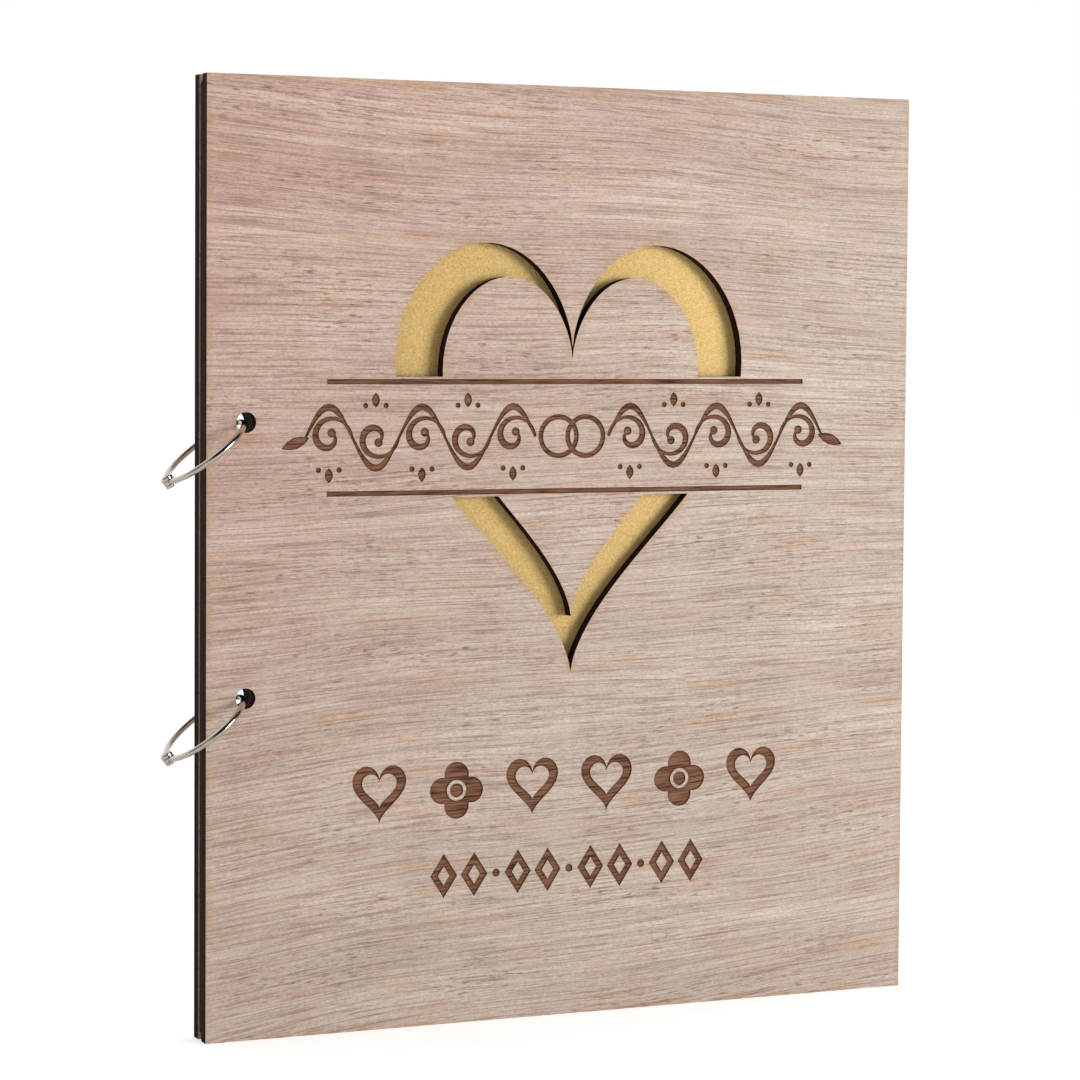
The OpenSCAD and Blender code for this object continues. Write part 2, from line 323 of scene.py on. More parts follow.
def tidy_mesh(piece, turn, sharp_degrees):
    """Moves a piece's mesh into place, merges it, and shades it smooth but for its edges."""
    shape = bmesh.new()
    shape.from_mesh(piece.data)
    bmesh.ops.transform(shape, matrix=turn, verts=shape.verts)
    bmesh.ops.remove_doubles(shape, verts=shape.verts, dist=SAME_POINT)
    bmesh.ops.dissolve_degenerate(shape, edges=shape.edges, dist=SAME_POINT)
    bmesh.ops.recalc_face_normals(shape, faces=shape.faces)
    for face in shape.faces:
        face.smooth = True
    for edge in shape.edges:
        edge.smooth = (
            len(edge.link_faces) == 2
            and edge.calc_face_angle() < math.radians(sharp_degrees))
    shape.to_mesh(piece.data)
    shape.free()


# ---- Plywood ----


# Each pattern's size across, through and up in millimetres, how much finer detail it holds and
# how rough that is, and the levels of the noise where the pattern begins and where it is full.
# The board's patterns lie straight, and the grain's follow its wander. Okoume's vessels are about
# 0.2 mm wide. Threads, streaks, lines, pores and burn are drawn at two to four times that, so
# that they show.
BOARD_PATTERNS = {
    "drift": ((210, 9, 85), 1.5, 0.5, 0.0, 1.0),
    "smoke": ((14, 9, 10), 1.0, 0.5, 0.42, 0.68),
    "soot": ((0.8, 2, 0.8), 2.0, 0.5, 0.25, 0.75),
}
GRAIN_PATTERNS = {
    "patches": ((130, 9, 19), 3.0, 0.5, 0.38, 0.62),
    "bands": ((110, 9, 3.0), 3.0, 0.65, 0.40, 0.60),
    "threads": ((90, 9, 0.8), 2.0, 0.7, 0.44, 0.64),
    "streaks": ((40, 9, 0.6), 1.0, 0.6, 0.53, 0.66),
    "lines": ((19, 9, 0.46), 1.0, 0.5, 0.56, 0.66),
    "pores": ((4.5, 9, 0.42), 1.0, 0.5, 0.58, 0.68),
    "clusters": ((46, 9, 13), 1.0, 0.5, 0.36, 0.64),
    "amber": ((30, 9, 4.5), 2.0, 0.5, 0.54, 0.72),
    "fibre": ((0.8, 2, 0.4), 1.0, 0.6, 0.28, 0.72),
    "burn": ((13, 9, 0.55), 2.0, 0.6, 0.42, 0.64),
}
# How much of which colour each pattern lays on the veneer, one over the other.
VENEER_TINTS = (
    ("patches", 0.72, "band"),
    ("bands", 0.62, "band"),
    ("amber", 0.4, "amber"),
    ("threads", 0.34, "streak"),
    ("streaks", 0.5, "streak"),
    ("lines", 0.55, "streak"),
    ("clustered pores", 0.6, "pore"),
)
FIBRE_VALUES = (0.86, 1.14)     # brightness of the darkest and the palest fibre
DRIFT = 20                      # mm that the grain wanders up and down
SLOPE_BETWEEN = (60, 230)       # heights in mm between which the grain's slope changes
SLOPES = (-0.09, 0.04)          # fall of the grain per mm along the width, at those heights
COOLER_LIT_ALONG = (0.0044, 0.0, -0.0035)   # per mm, towards the fore-edge and the foot; paler that way, partly as painted light from the key light's side
COOLER_LIT_FROM, COOLER_LIT_TO = -1.3, -0.3     # where the cooler, paler veneer begins, and is full

# An openness of 1 is a face far from any edge, and less is nearer to one.
SMOKE_FROM, SMOKE_FULL = 0.98, 0.5      # openness where smoke begins, and is full
SMOKE_LEAST, SMOKE_MOST = 0.05, 0.6     # how much smoke lies at a cut
WALL_SHADE_FROM, WALL_SHADE_FULL = 0.98, 0.72     # openness where the painted shade by an engraved floor's wall begins, and is full
WALL_SHADE_MOST = 0.9                      # how dark that painted shade gets, where 1 is the darkest burn colour
SOOT_LEAST, SOOT_MOST = 0.3, 1.0        # how much of the core's colour shows in an edge
WOOD_SPECULAR = 0.02                    # bare wood scatters nearly all light
FIBRE_ROUGHNESS, PORE_ROUGHNESS = 0.62, 0.85
PORE_HEIGHT, FIBRE_HEIGHT = -0.7, 0.25  # shares of the relief
WOOD_RELIEF = 0.12 * MM                 # from the deepest pore to the top of the fibres


def noise_patterns(tree, place, patterns):
    """A value from 0 to 1 for each pattern, from a place in millimetres."""
    made = {}
    for name, (size, detail, rough, begins, full) in patterns.items():
        stretched = add(
            tree, "ShaderNodeVectorMath", {0: place, 1: [1 / side for side in size]},
            operation="MULTIPLY")
        noise = add(
            tree, "ShaderNodeTexNoise",
            {"Vector": stretched, "Scale": 1.0, "Detail": detail, "Roughness": rough})
        made[name] = add(tree, "ShaderNodeMapRange", {0: noise, 1: begins, 2: full})
    return made


def veneer(tree, knobs, place, drift):
    """The sanded face before any burning, with its grain patterns."""
    across, _, up = add(tree, "ShaderNodeSeparateXYZ", {0: place}).outputs
    slope = add(
        tree, "ShaderNodeMapRange", dict(enumerate((up, *SLOPE_BETWEEN, *SLOPES))))
    climb = add(tree, "ShaderNodeMath", {0: slope, 1: across}, operation="MULTIPLY")
    wander = add(
        tree, "ShaderNodeMath", {0: drift, 1: DRIFT, 2: climb}, operation="MULTIPLY_ADD")
    grain = noise_patterns(
        tree,
        add(tree, "ShaderNodeVectorMath",
            {0: place, 1: add(tree, "ShaderNodeCombineXYZ", {2: wander})}, operation="ADD"),
        GRAIN_PATTERNS)

    # cooler and paler towards the fore-edge and the foot: partly the veneer's own tone, partly
    # painted light from the key light's side
    lean = add(
        tree, "ShaderNodeVectorMath", {0: place, 1: COOLER_LIT_ALONG}, operation="DOT_PRODUCT")
    cooler_and_lit = add(
        tree, "ShaderNodeMapRange",
        {0: lean.outputs["Value"], 1: COOLER_LIT_FROM, 2: COOLER_LIT_TO})
    pale, band = (
        add(tree, "ShaderNodeMix", {0: cooler_and_lit, 6: (*warm, 1), 7: (*cool, 1)},
            data_type="RGBA").outputs[2]
        for warm, cool in (
            (knobs.warm_pale, knobs.cool_pale), (knobs.warm_band, knobs.cool_band)))

    grain["clustered pores"] = add(
        tree, "ShaderNodeMath", {0: grain["pores"], 1: grain["clusters"]},
        operation="MULTIPLY")
    tints = {
        "band": band,
        "amber": (*knobs.amber, 1),
        "streak": (*knobs.streak, 1),
        "pore": (*knobs.pore, 1),
    }
    tone = pale
    for pattern, share, tint in VENEER_TINTS:
        amount = add(
            tree, "ShaderNodeMath", {0: grain[pattern], 1: share}, operation="MULTIPLY")
        tone = add(
            tree, "ShaderNodeMix", {0: amount, 6: tone, 7: tints[tint]},
            data_type="RGBA").outputs[2]
    value = add(
        tree, "ShaderNodeMapRange",
        {0: grain["fibre"], 3: FIBRE_VALUES[0], 4: FIBRE_VALUES[1]})
    return add(tree, "ShaderNodeHueSaturation", {"Value": value, "Color": tone}), grain


def wood_material(name, knobs):
    """Okoume plywood, sanded, then cut and engraved by laser.

    The eye gets long thin streaks and short dark pores along the width of a beige-pink veneer,
    nearly black cut edges, brown engraved floors that keep the grain and carry painted shade near
    their walls, and an uneven tan haze of smoke by each cut."""
    material, tree, shader = blank_material(name)
    coords = add(tree, "ShaderNodeTexCoord")
    place = add(
        tree, "ShaderNodeVectorMath", {0: coords.outputs["Object"], 1: (1 / MM,) * 3},
        operation="MULTIPLY")
    board = noise_patterns(tree, place, BOARD_PATTERNS)
    ground, grain = veneer(tree, knobs, place, board["drift"])

    # how far below the front cover's face a point lies, in millimetres
    below = add(
        tree, "ShaderNodeMath",
        {0: add(tree, "ShaderNodeSeparateXYZ", {0: place}).outputs[1], 1: FACE_Y / MM},
        operation="SUBTRACT")
    on_face = flat_side(tree, coords)
    depth = knobs.engrave_depth / MM
    at_floor = add(
        tree, "ShaderNodeMath", {0: below, 1: depth, 2: depth / 2}, operation="COMPARE")
    engraved = add(
        tree, "ShaderNodeMath", {0: at_floor, 1: on_face}, operation="MULTIPLY")

    # smoke stain: strongest at the cut, gone at scorch_reach, and uneven along it
    openness = add(
        tree, "ShaderNodeAmbientOcclusion", {"Distance": knobs.scorch_reach},
        inside=True, only_local=True, samples=8).outputs["AO"]
    close = add(tree, "ShaderNodeMapRange", {0: openness, 1: SMOKE_FROM, 2: SMOKE_FULL})
    cloud = add(
        tree, "ShaderNodeMapRange", {0: board["smoke"], 3: SMOKE_LEAST, 4: SMOKE_MOST})
    stain = add(tree, "ShaderNodeMath", {0: close, 1: cloud}, operation="MULTIPLY")
    stained = add(
        tree, "ShaderNodeMix", {0: stain, 6: ground, 7: (*knobs.scorch, 1)},
        data_type="RGBA").outputs[2]

    # engraved floor: streaked with burn, and darkened near its walls by occlusion, which is painted
    # shade
    corner = add(
        tree, "ShaderNodeAmbientOcclusion", {"Distance": knobs.outline},
        only_local=True, samples=6).outputs["AO"]
    rim = add(
        tree, "ShaderNodeMapRange",
        {0: corner, 1: WALL_SHADE_FROM, 2: WALL_SHADE_FULL, 4: WALL_SHADE_MOST})
    # the darker of the real burnt streaks and the painted wall shade
    darkest = add(
        tree, "ShaderNodeMath", {0: rim, 1: grain["burn"]}, operation="MAXIMUM")
    burnt = add(
        tree, "ShaderNodeMix",
        {0: darkest, 6: (*knobs.burn, 1), 7: (*knobs.burn_dark, 1)},
        data_type="RGBA").outputs[2]
    face = add(
        tree, "ShaderNodeMix", {0: engraved, 6: stained, 7: burnt},
        data_type="RGBA").outputs[2]

    # cut edge: charred face plies with a slightly lighter core between
    from_middle = add(
        tree, "ShaderNodeMath", {0: below, 1: PLATE_T / MM / 2}, operation="SUBTRACT")
    half_core = PLATE_T / MM / 2 - knobs.ply_t / MM
    core = add(
        tree, "ShaderNodeMath", {0: from_middle, 1: 0.0, 2: half_core}, operation="COMPARE")
    soot = add(tree, "ShaderNodeMapRange", {0: board["soot"], 3: SOOT_LEAST, 4: SOOT_MOST})
    edge = add(
        tree, "ShaderNodeMix",
        {0: add(tree, "ShaderNodeMath", {0: core, 1: soot}, operation="MULTIPLY"),
         6: (*knobs.char, 1), 7: (*knobs.char_core, 1)}, data_type="RGBA").outputs[2]

    tree.links.new(
        add(tree, "ShaderNodeMix", {0: on_face, 6: edge, 7: face},
            data_type="RGBA").outputs[2],
        shader.inputs["Base Color"])
    tree.links.new(
        add(tree, "ShaderNodeMapRange",
            {0: grain["pores"], 3: FIBRE_ROUGHNESS, 4: PORE_ROUGHNESS}).outputs[0],
        shader.inputs["Roughness"])
    shader.inputs["Specular IOR Level"].default_value = WOOD_SPECULAR

    # relief: pores and burnt streaks lie below the fibres
    charred = add(
        tree, "ShaderNodeMath", {0: grain["burn"], 1: engraved}, operation="MULTIPLY")
    hollow = add(
        tree, "ShaderNodeMath", {0: grain["pores"], 1: charred}, operation="MAXIMUM")
    fibre_height = add(
        tree, "ShaderNodeMath", {0: grain["fibre"], 1: FIBRE_HEIGHT}, operation="MULTIPLY")
    height = add(
        tree, "ShaderNodeMath", {0: hollow, 1: PORE_HEIGHT, 2: fibre_height},
        operation="MULTIPLY_ADD")
    bump = add(
        tree, "ShaderNodeBump", {"Strength": 0.5, "Distance": WOOD_RELIEF, "Height": height})
    tree.links.new(bump.outputs[0], shader.inputs["Normal"])
    return material


class GUESTBOOK_OT_covers(bpy.types.Operator):
    """Gives both covers their laser-cut plywood"""

    bl_idname = "guestbook.covers"
    bl_label = "Covers"

    def execute(self, context):
        material = wood_material(
            "okoume plywood, sanded and laser cut", context.scene.guestbook_plywood)
        for name in ("front_cover", "back_cover"):
            paint(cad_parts[name], material)
        return {"FINISHED"}


# ---- Gold card ----


FLAKE_SHADE_MOST = 0.62            # share of the deep gold, painted shade, in a flake that is turned right away from the light
VARNISH_METAL = 0.35        # the varnish over the flakes hides most of their metal
GLITTER_RELIEF = 0.08 * MM  # how far one flake stands above the next


def glitter_material(name, knobs):
    """Glitter card: metallised film flakes rolled into clear varnish, on dark card.

    The eye gets a soft gold with a fine sparkle, since each flake lies at its own tilt, and a
    dark rim where the card is cut. Each flake's tilt also darkens its colour towards the deep gold,
    which is painted shade for flakes turned away from the light. Real flakes are about 0.2 mm wide,
    and are drawn wider so that they show."""
    material, tree, shader = blank_material(name)
    coords = add(tree, "ShaderNodeTexCoord")
    flakes = add(
        tree, "ShaderNodeTexVoronoi",
        {"Vector": coords.outputs["Object"], "Scale": 1 / knobs.flake}, feature="F1")
    tilt = add(tree, "ShaderNodeSeparateColor", {0: flakes.outputs["Color"]})
    # painted shade: each flake's random tilt darkens its colour towards the deep gold
    shade = add(tree, "ShaderNodeMapRange", {0: tilt, 4: FLAKE_SHADE_MOST})
    tone = add(
        tree, "ShaderNodeMix",
        {0: shade, 6: (*knobs.gold, 1), 7: (*knobs.deep, 1)}, data_type="RGBA").outputs[2]
    coated = flat_side(tree, coords)
    tree.links.new(
        add(tree, "ShaderNodeMix", {0: coated, 6: (*knobs.core, 1), 7: tone},
            data_type="RGBA").outputs[2],
        shader.inputs["Base Color"])
    tree.links.new(
        add(tree, "ShaderNodeMapRange", {0: coated, 4: VARNISH_METAL}).outputs[0],
        shader.inputs["Metallic"])
    shader.inputs["Roughness"].default_value = 0.5
    bump = add(
        tree, "ShaderNodeBump",
        {"Strength": 0.5, "Distance": GLITTER_RELIEF, "Height": tilt.outputs[1]})
    tree.links.new(bump.outputs[0], shader.inputs["Normal"])
    return material


class GUESTBOOK_OT_gold_card(bpy.types.Operator):
    """Gives the card behind the split heart its glitter coat"""

    bl_idname = "guestbook.gold_card"
    bl_label = "Gold card"

    def execute(self, context):
        paint(
            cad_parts["gold_card"],
            glitter_material("gold glitter card", context.scene.guestbook_card))
        return {"FINISHED"}


# ---- Leaves ----


FELT_MARK = 0.9 * MM        # width of the marks that the paper machine's felt leaves
FELT_RELIEF = 0.05 * MM
FELT_VALUES = (0.75, 1.3)   # brightness of the darkest and the palest mark
CORNER_STEPS = 4            # points round a leaf's corner
HOLE_STEPS = 32             # points round a punched hole
SHEET_SHARP = 30            # degrees at which a leaf's edge shows as an edge


def card_material(name, knobs):
    """Dyed card, uncoated: dull, with faint felt marks that lift its dark brown."""
    material, tree, shader = blank_material(name)
    coords = add(tree, "ShaderNodeTexCoord")
    felt = add(
        tree, "ShaderNodeTexNoise",
        {"Vector": coords.outputs["Object"], "Scale": 1 / FELT_MARK, "Detail": 3.0})
    value = add(
        tree, "ShaderNodeMapRange",
        dict(enumerate((felt.outputs["Fac"], NOISE_LOW, NOISE_HIGH, *FELT_VALUES))))
    tone = add(
        tree, "ShaderNodeHueSaturation",
        {"Value": value.outputs[0], "Color": (*knobs.card, 1)})
    tree.links.new(tone.outputs[0], shader.inputs["Base Color"])
    shader.inputs["Roughness"].default_value = 0.88
    bump = add(
        tree, "ShaderNodeBump",
        {"Strength": 0.3, "Distance": FELT_RELIEF, "Height": felt.outputs["Fac"]})
    tree.links.new(bump.outputs[0], shader.inputs["Normal"])
    return material


def leaf_tree(material):
    """A sheet with rounded corners and two ring holes, cut a little short on each side.

    Its four random numbers are how short it falls at the spine, fore-edge, foot and head."""
    tree, given, end = new_tree("punched leaf", (
        ("Width", "NodeSocketFloat"), ("Height", "NodeSocketFloat"),
        ("Thickness", "NodeSocketFloat"), ("Corner", "NodeSocketFloat"),
        ("Hole Diameter", "NodeSocketFloat"), ("Hole Pitch", "NodeSocketFloat"),
        ("Hole X", "NodeSocketFloat"), ("Trim", "NodeSocketFloat"),
        ("Spine Trim", "NodeSocketFloat"), ("Seed", "NodeSocketInt"),
        ("Place", "NodeSocketVector")))

    # Input 3 is the highest number. The ID is linked, because an unlinked one is each point's
    # own number, and a sheet's width and height take one number alone.
    left, right, foot, head = (
        add(tree, "FunctionNodeRandomValue",
            {3: given[most], "Seed": given["Seed"],
             "ID": add(tree, "FunctionNodeInputInt", integer=side)},
            data_type="FLOAT").outputs[1]
        for side, most in enumerate(("Spine Trim", "Trim", "Trim", "Trim")))
    sizes = []
    shifts = []
    for whole, near, far in (
            (given["Width"], left, right), (given["Height"], foot, head)):
        trimmed = add(tree, "ShaderNodeMath", {0: near, 1: far}, operation="ADD")
        sizes.append(add(
            tree, "ShaderNodeMath", {0: whole, 1: trimmed}, operation="SUBTRACT"))
        uneven = add(tree, "ShaderNodeMath", {0: near, 1: far}, operation="SUBTRACT")
        shifts.append(add(
            tree, "ShaderNodeMath", {0: uneven, 1: 0.5}, operation="MULTIPLY"))
    outline = add(
        tree, "GeometryNodeCurvePrimitiveQuadrilateral",
        {"Width": sizes[0], "Height": sizes[1]}, mode="RECTANGLE")
    rounded = add(
        tree, "GeometryNodeFilletCurve",
        {"Curve": outline.outputs[0], "Radius": given["Corner"], "Count": CORNER_STEPS},
        mode="POLY")
    shifted = add(
        tree, "GeometryNodeTransform",
        {"Geometry": rounded.outputs[0],
         "Translation": add(
             tree, "ShaderNodeCombineXYZ", {0: shifts[0], 1: shifts[1]})})
    hole_radius = add(
        tree, "ShaderNodeMath", {0: given["Hole Diameter"], 1: 0.5}, operation="MULTIPLY")
    hole = add(
        tree, "GeometryNodeCurvePrimitiveCircle",
        {"Resolution": HOLE_STEPS, "Radius": hole_radius}, mode="RADIUS")
    join = add(tree, "GeometryNodeJoinGeometry", {0: shifted.outputs[0]})
    for side in (-0.5, 0.5):
        up = add(
            tree, "ShaderNodeMath", {0: given["Hole Pitch"], 1: side}, operation="MULTIPLY")
        at = add(tree, "ShaderNodeCombineXYZ", {0: given["Hole X"], 1: up})
        punched = add(
            tree, "GeometryNodeTransform",
            {"Geometry": hole.outputs[0], "Translation": at.outputs[0]})
        tree.links.new(punched.outputs[0], join.inputs[0])
    sheet = add(tree, "GeometryNodeFillCurve", {0: join.outputs[0]}, mode="TRIANGLES")
    thick = add(
        tree, "GeometryNodeExtrudeMesh",
        {"Mesh": sheet.outputs[0], "Offset Scale": given["Thickness"], "Individual": False},
        mode="FACES")
    under = add(tree, "GeometryNodeFlipFaces", {0: sheet.outputs[0]})
    both = add(tree, "GeometryNodeJoinGeometry", {0: thick.outputs[0]})
    tree.links.new(under.outputs[0], both.inputs[0])
    whole = add(
        tree, "GeometryNodeMergeByDistance",
        {"Geometry": both.outputs[0], "Distance": SAME_POINT / 2})
    upright = add(
        tree, "GeometryNodeTransform",
        {"Geometry": whole.outputs[0], "Translation": given["Place"],
         "Rotation": (math.pi / 2, 0, 0)})
    close_tree(tree, end, upright.outputs[0], material)
    return tree


class GUESTBOOK_OT_leaves(bpy.types.Operator):
    """Cuts the twelve punched leaves"""

    bl_idname = "guestbook.leaves"
    bl_label = "Leaves"

    def execute(self, context):
        knobs = context.scene.guestbook_leaves
        tree = leaf_tree(card_material("dyed leaf card, uncoated", knobs))
        for name in sorted(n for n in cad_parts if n.startswith("leaf_")):
            low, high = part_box(name)
            middle = (low + high) / 2
            leaf = grow(name + "_card", tree, {
                "Width": high.x - low.x,
                "Height": high.z - low.z,
                "Thickness": high.y - low.y,
                "Corner": knobs.corner,
                "Hole Diameter": HOLE_D,
                "Hole Pitch": RING_HOLES["upper"] - RING_HOLES["lower"],
                "Hole X": HOLE_X - middle.x,
                "Trim": knobs.trim,
                "Spine Trim": knobs.spine_trim,
                "Seed": knobs.seed + int(name.split("_")[1]),
                "Place": (middle.x, high.y, middle.z),
            })
            tidy_mesh(leaf, Matrix.Identity(4), SHEET_SHARP)
            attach(leaf, name + "_sheet")
            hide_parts(name)
        return {"FINISHED"}


# ---- Rings ----


WIRE_STEPS = 80             # along half a hoop
SECTION_STEPS = 28          # round the wire
LAP_STEPS = 8               # along the cutter of the snap's lap
EAR_EDGE = 0.09 * MM        # chamfer on an ear's rims
EAR_STEPS = 40              # round an ear and a rivet
HEAD_RIM = 0.35             # share of a rivet head's height that is its upright rim
DOME_ANGLES = (0, 20, 40, 60, 75)       # degrees up a rivet head's dome
WIRE_MARK, WIRE_ROUGHNESS = 0.6 * MM, (0.1, 0.2)        # drawing marks
RIVET_MARK, RIVET_ROUGHNESS = 0.25 * MM, (0.26, 0.42)   # turning marks
RING_SHARP = 32             # degrees at which an edge of the metal shows as an edge


def plated_material(name, tint, mark, smoothest, roughest):
    """Plated steel, whose gloss varies over fine marks of one width."""
    material, tree, shader = blank_material(name)
    coords = add(tree, "ShaderNodeTexCoord")
    marks = add(
        tree, "ShaderNodeTexNoise",
        {"Vector": coords.outputs["Object"], "Scale": 1 / mark, "Detail": 2.0})
    rough = add(
        tree, "ShaderNodeMapRange",
        dict(enumerate((marks.outputs["Fac"], NOISE_LOW, NOISE_HIGH, smoothest, roughest))))
    tree.links.new(rough.outputs[0], shader.inputs["Roughness"])
    shader.inputs["Base Color"].default_value = (*tint, 1)
    shader.inputs["Metallic"].default_value = 1.0
    return material


def wire_tree(material):
    """Round wire swept along an arc."""
    tree, given, end = new_tree("ring wire", (
        ("Ring Radius", "NodeSocketFloat"), ("Wire Diameter", "NodeSocketFloat"),
        ("Start Angle", "NodeSocketFloat"), ("Sweep Angle", "NodeSocketFloat")))
    path = add(
        tree, "GeometryNodeCurveArc",
        {"Resolution": WIRE_STEPS, "Radius": given["Ring Radius"],
         "Start Angle": given["Start Angle"], "Sweep Angle": given["Sweep Angle"]},
        mode="RADIUS")
    wire_radius = add(
        tree, "ShaderNodeMath", {0: given["Wire Diameter"], 1: 0.5}, operation="MULTIPLY")
    section = add(
        tree, "GeometryNodeCurvePrimitiveCircle",
        {"Resolution": SECTION_STEPS, "Radius": wire_radius}, mode="RADIUS")
    swept = add(
        tree, "GeometryNodeCurveToMesh",
        {"Curve": path.outputs[0], "Profile Curve": section.outputs[0], "Fill Caps": True})
    close_tree(tree, end, swept.outputs[0], material)
    return tree


def chamfered(diameter, low, high, edge):
    """Profile of a disc from height low to high, with its rims taken off."""
    radius = diameter / 2
    return (
        (0, low), (radius - edge, low), (radius, low + edge),
        (radius, high - edge), (radius - edge, high), (0, high))


def lap_cutter(knobs):
    """Clears the lower half of the wire's section round the snap."""
    shape = bmesh.new()
    inner, outer = knobs.radius - knobs.wire, knobs.radius + knobs.wire
    first, last = -knobs.snap_arc, knobs.snap_arc / 2
    rings = []
    for i in range(LAP_STEPS + 1):
        angle = first + (last - first) * i / LAP_STEPS
        rings.append([
            shape.verts.new((r * math.cos(angle), r * math.sin(angle), z))
            for r, z in ((inner, -knobs.wire), (outer, -knobs.wire),
                         (outer, knobs.gap / 2), (inner, knobs.gap / 2))])
    for low, high in zip(rings, rings[1:]):
        for i in range(4):
            shape.faces.new((low[i], low[(i + 1) % 4], high[(i + 1) % 4], high[i]))
    shape.faces.new(rings[0])
    shape.faces.new(rings[-1])
    bmesh.ops.recalc_face_normals(shape, faces=shape.faces)
    return made_object("cutter", shape)


def ring_place(knobs, hole_z):
    """Carries a ring from its own plane to its hole."""
    return (
        Matrix.Translation(Vector((HOLE_X, BOOK_MIDDLE_Y, hole_z)) + RING_SHIFT)
        @ Matrix.Rotation(knobs.yaw, 4, "Z")
        @ Matrix.Rotation(-knobs.droop, 4, "Y")
        @ Matrix.Translation((-knobs.radius, 0, 0)))


def ring_half(name, tree, knobs, front):
    """Half a hoop with its lap and its ears, in the ring's own plane."""
    knuckle = (-knobs.radius, 0, 0)
    gap_arc = math.asin(knobs.gap / knobs.radius)
    half = grow(name, tree, {
        "Ring Radius": knobs.radius,
        "Wire Diameter": knobs.wire,
        "Start Angle": -knobs.snap_arc / 2 + gap_arc,
        "Sweep Angle": math.pi + knobs.snap_arc / 2 - gap_arc,
    })
    combine(half, lap_cutter(knobs), "DIFFERENCE")
    pocket_d = knobs.ear + 2 * knobs.gap
    middle = knobs.ear_middle / 2
    ears_from, ears_to = middle + knobs.gap, middle + knobs.gap + knobs.ear_outer
    far = 2 * knobs.wire
    if front:
        half.data.transform(Matrix.Rotation(math.pi, 4, "X"))
        pockets = ((middle, far), (-far, -middle))
        ears = ((-middle, middle),)
    else:
        pockets = ((-ears_from, ears_from),)
        ears = ((ears_from, ears_to), (-ears_to, -ears_from))
    for low, high in pockets:
        cutter = made_object(
            "cutter", lathe(chamfered(pocket_d, low, high, 0), EAR_STEPS, knuckle))
        combine(half, cutter, "DIFFERENCE")
    for low, high in ears:
        ear = made_object(
            "ear", lathe(chamfered(knobs.ear, low, high, EAR_EDGE), EAR_STEPS, knuckle))
        combine(half, ear, "UNION")
    return half


def ring_rivet(name, knobs):
    """A rivet with a low domed head at each end, in the ring's own plane."""
    shoulder = knobs.ear_middle / 2 + knobs.gap + knobs.ear_outer
    shank, head = knobs.rivet / 2, knobs.rivet_head / 2
    dome = [
        (head * math.cos(math.radians(a)),
         shoulder + knobs.rivet_head_t
         * (HEAD_RIM + (1 - HEAD_RIM) * math.sin(math.radians(a))))
        for a in DOME_ANGLES]
    upper = [(shank, shoulder), (head, shoulder), *dome, (0, shoulder + knobs.rivet_head_t)]
    lower = [(radius, -height) for radius, height in reversed(upper)]
    return made_object(
        name, lathe([*lower, *upper], EAR_STEPS, (-knobs.radius, 0, 0)))


class GUESTBOOK_OT_rings(bpy.types.Operator):
    """Makes the two hinged book rings"""

    bl_idname = "guestbook.rings"
    bl_label = "Book rings"

    def execute(self, context):
        knobs = context.scene.guestbook_rings
        # a warm mirror with faint drawing marks
        nickel = plated_material(
            "steel wire, bright nickel plated", knobs.nickel, WIRE_MARK, *WIRE_ROUGHNESS)
        # greyer and duller than the wire
        zinc = plated_material(
            "turned steel rivet, zinc plated", knobs.zinc, RIVET_MARK, *RIVET_ROUGHNESS)
        tree = wire_tree(nickel)
        for side, hole_z in RING_HOLES.items():
            ring = "ring_" + side
            turn = ring_place(knobs, hole_z)
            for part, material, slot in (
                    ("front_half", nickel, "nickel_wire"),
                    ("back_half", nickel, "nickel_wire"),
                    ("rivet", zinc, "rivet_steel")):
                node = f"{ring}_{part}"
                if part == "rivet":
                    piece = ring_rivet(node + "_steel", knobs)
                else:
                    piece = ring_half(node + "_wire", tree, knobs, part == "front_half")
                tidy_mesh(piece, turn, RING_SHARP)
                paint(piece, material)
                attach(piece, ring)
                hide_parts(node)
        return {"FINISHED"}


# ---- Stage ----


CAMERA_AT = Vector((-408.3, -916.8, 208.4)) * MM
CAMERA_YAW = math.radians(23.8)
CAMERA_PITCH = math.radians(-2.9)
CAMERA_ROLL = math.radians(0.39)
CAMERA_LENS, CAMERA_SENSOR = 110.3, 36          # mm
CAMERA_SHIFT = (-0.007, -0.043)
KEY_AT, KEY_SIZE = (0.95, -0.95, 0.24), 0.6     # low on the right, before the book
FILL_AT, FILL_SIZE = (-1.5, -1.2, 0.9), 1.0
FLOOR_HALF = 6                      # metres from the book to the floor's sides
FLOOR_GLOW = 0.45                   # lifts the floor for the camera and leaves its shadows
FLAG_LIGHT = 0.02                   # what is left of the room where the black flags stand


def aimed_light(name, at, size, power):
    """A square softbox that looks at the middle of the book."""
    data = bpy.data.lights.new(name, "AREA")
    data.shape = "SQUARE"
    data.size = size
    data.energy = power
    lamp = bpy.data.objects.new(name, data)
    lamp.location = at
    lamp.rotation_euler = (BOOK_MIDDLE - Vector(at)).to_track_quat("-Z", "Y").to_euler()
    bpy.context.scene.collection.objects.link(lamp)


def stage_camera():
    """A long lens, left of the book and a little above its middle."""
    data = bpy.data.cameras.new("camera")
    data.lens = CAMERA_LENS
    data.sensor_width = CAMERA_SENSOR
    data.shift_x, data.shift_y = CAMERA_SHIFT
    camera = bpy.data.objects.new("camera", data)
    forward = Vector((
        math.sin(CAMERA_YAW) * math.cos(CAMERA_PITCH),
        math.cos(CAMERA_YAW) * math.cos(CAMERA_PITCH),
        math.sin(CAMERA_PITCH)))
    turn = forward.to_track_quat("-Z", "Y").to_matrix()
    camera.matrix_world = (
        Matrix.Translation(CAMERA_AT)
        @ (turn @ Matrix.Rotation(CAMERA_ROLL, 3, "Z")).to_4x4())
    bpy.context.scene.collection.objects.link(camera)
    bpy.context.scene.camera = camera


